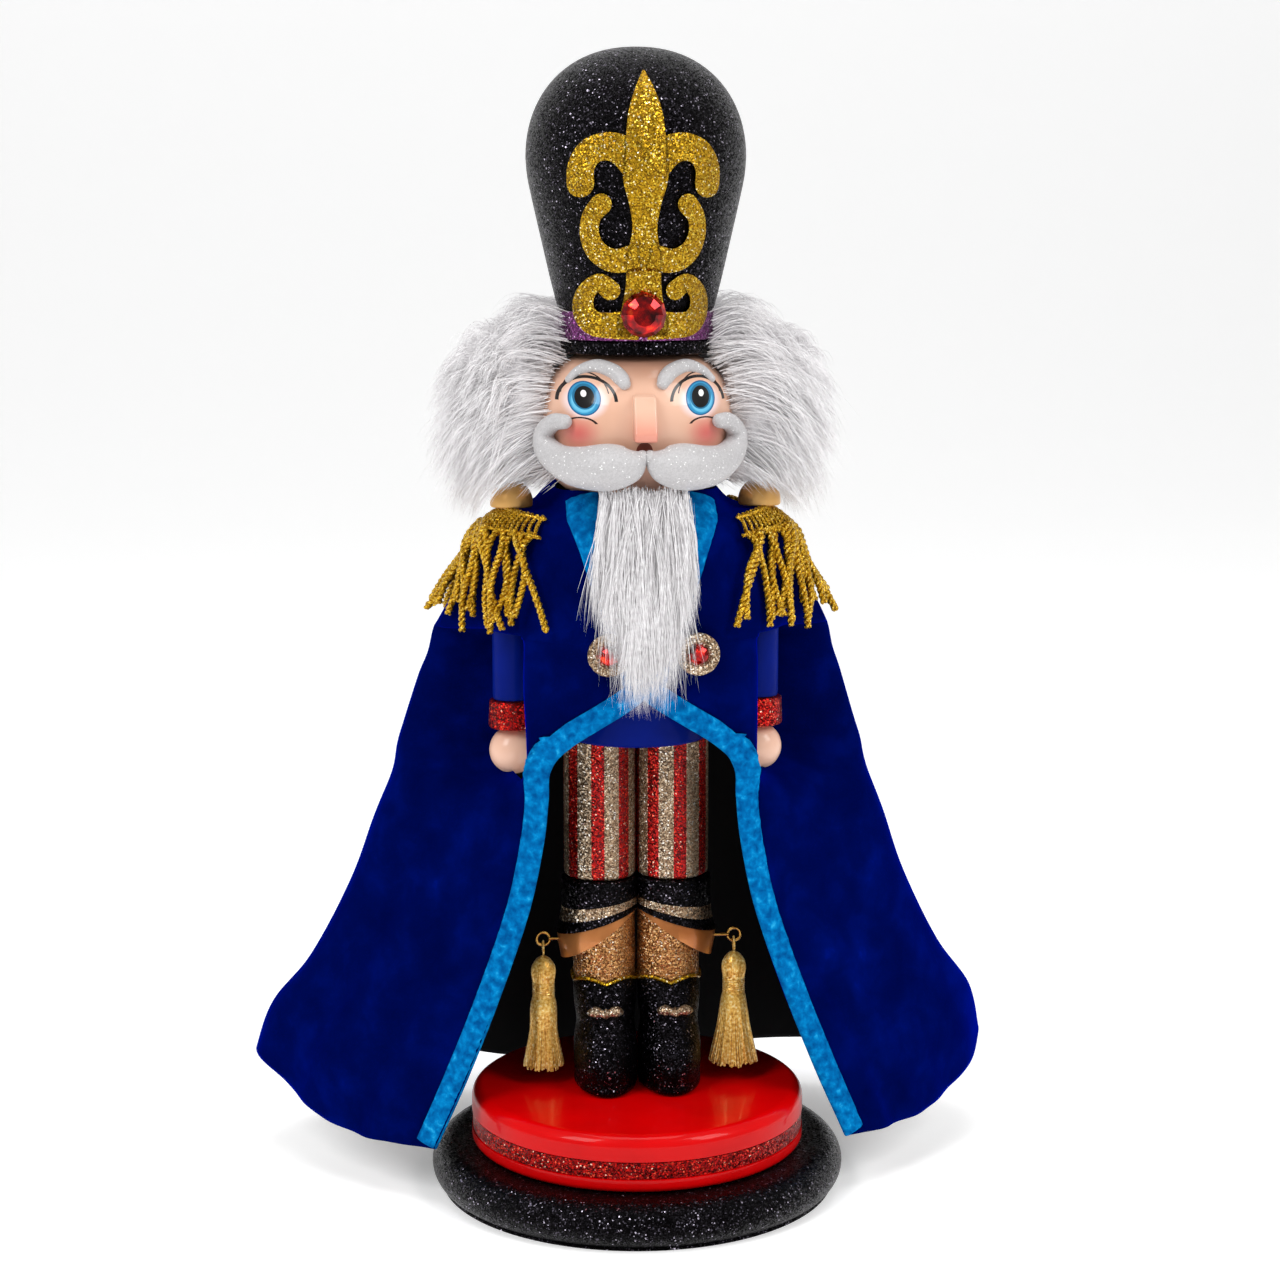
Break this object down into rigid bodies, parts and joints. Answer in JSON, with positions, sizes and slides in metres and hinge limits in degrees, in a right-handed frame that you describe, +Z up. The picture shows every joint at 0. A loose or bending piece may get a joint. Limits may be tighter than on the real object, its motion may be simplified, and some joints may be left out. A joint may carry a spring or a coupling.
{
  "type": "caped nutcracker figure",
  "caption": "Standing nutcracker in a tall domed hat and flared velvet cape, with fringed shoulders, hanging tassels and a lever-worked jaw, on a two-tier round stand.",
  "frame": {"origin": "centre of the underside of the lower round of the stand", "axes": "+Z up along the figure, the figure faces -Y, its left hand as seen from the front is at -X"},
  "size_m": [0.314, 0.2, 0.4595],
  "materials": {
    "black_glitter": "fine black glitter over black paint",
    "red_lacquer": "high-gloss red lacquer",
    "gold_glitter": "gold glitter",
    "stripe_glitter": "champagne-gold and red glitter stripes",
    "red_glitter": "red glitter",
    "purple_glitter": "purple glitter ribbon",
    "flesh_paint": "glossy flesh paint",
    "white_glitter": "white paint with fine glitter",
    "fur": "long white artificial fur",
    "blue_paint": "satin blue paint",
    "velvet": "navy velvet with a black lining",
    "turquoise_velvet": "turquoise velvet binding",
    "satin_gold": "satin gold paint",
    "bullion": "twisted metallic gold cord",
    "thread": "gold rayon thread",
    "ruby": "faceted clear red acrylic, foil backed",
    "wood": "plain turned wood",
    "steel": "zinc-plated steel",
    "brass": "polished brass wire"
  },
  "bodies": {
    "figure": {"base_lower": "black_glitter", "hat_crown": "black_glitter", "hat_rim": "black_glitter", "boot_left": "black_glitter", "boot_right": "black_glitter", "boot_cuff_left": "black_glitter", "boot_cuff_right": "black_glitter", "base_upper": "red_lacquer", "hat_ornament": "gold_glitter", "boot_buckle_left": "gold_glitter", "boot_buckle_right": "gold_glitter", "cape_button_left": "gold_glitter", "cape_button_right": "gold_glitter", "trouser_leg_left": "stripe_glitter", "trouser_leg_right": "stripe_glitter", "sleeve_cuff_left": "red_glitter", "sleeve_cuff_right": "red_glitter", "hat_band": "purple_glitter", "head": "flesh_paint", "nose": "flesh_paint", "hand_left": "flesh_paint", "hand_right": "flesh_paint", "moustache_left": "white_glitter", "moustache_right": "white_glitter", "brow_left": "white_glitter", "brow_right": "white_glitter", "hair_left": "fur", "hair_right": "fur", "hair_back": "fur", "torso": "blue_paint", "arm_left": "blue_paint", "arm_right": "blue_paint", "cape": "velvet", "cape_trim_left": "turquoise_velvet", "cape_trim_right": "turquoise_velvet", "shoulder_dome_left": "satin_gold", "shoulder_dome_right": "satin_gold", "epaulette_tape_left": "bullion", "epaulette_tape_right": "bullion", "epaulette_fringe_left": "bullion", "epaulette_fringe_right": "bullion", "hat_gem": "ruby", "button_gem_left": "ruby", "button_gem_right": "ruby", "leg_dowel_left": "wood", "leg_dowel_right": "wood", "arm_dowel_left": "wood", "arm_dowel_right": "wood", "base_screw_left": "steel", "base_screw_right": "steel", "jaw_pin": "steel", "screw_eye_left": "brass", "screw_eye_right": "brass"},
    "jaw": {"jaw_lever": "wood", "beard": "fur"},
    "loop_left": {"tassel_loop_left": "thread"},
    "loop_right": {"tassel_loop_right": "thread"},
    "tassel_left": {"tassel_left": "thread"},
    "tassel_right": {"tassel_right": "thread"}
  },
  "joints": [
    {"name": "jaw_hinge", "type": "hinge", "parent": "figure", "child": "jaw", "pos_m": [0, 0.01, 0.29], "axis": [1, 0, 0], "range_deg": [0, 12], "deforming": ["beard"]},
    {"name": "tassel_left_sideways", "type": "hinge", "parent": "figure", "child": "loop_left", "pos_m": [-0.0385, 0.003, 0.0988], "axis": [0, 1, 0], "range_deg": [0, 25]},
    {"name": "tassel_left_fore_aft", "type": "hinge", "parent": "loop_left", "child": "tassel_left", "pos_m": [-0.0385, 0.003, 0.0951], "axis": [1, 0, 0], "range_deg": [-15, 15]},
    {"name": "tassel_right_sideways", "type": "hinge", "parent": "figure", "child": "loop_right", "pos_m": [0.0405, 0.003, 0.0988], "axis": [0, 1, 0], "range_deg": [-25, 0]},
    {"name": "tassel_right_fore_aft", "type": "hinge", "parent": "loop_right", "child": "tassel_right", "pos_m": [0.0405, 0.003, 0.0951], "axis": [1, 0, 0], "range_deg": [-15, 15]}
  ]
}
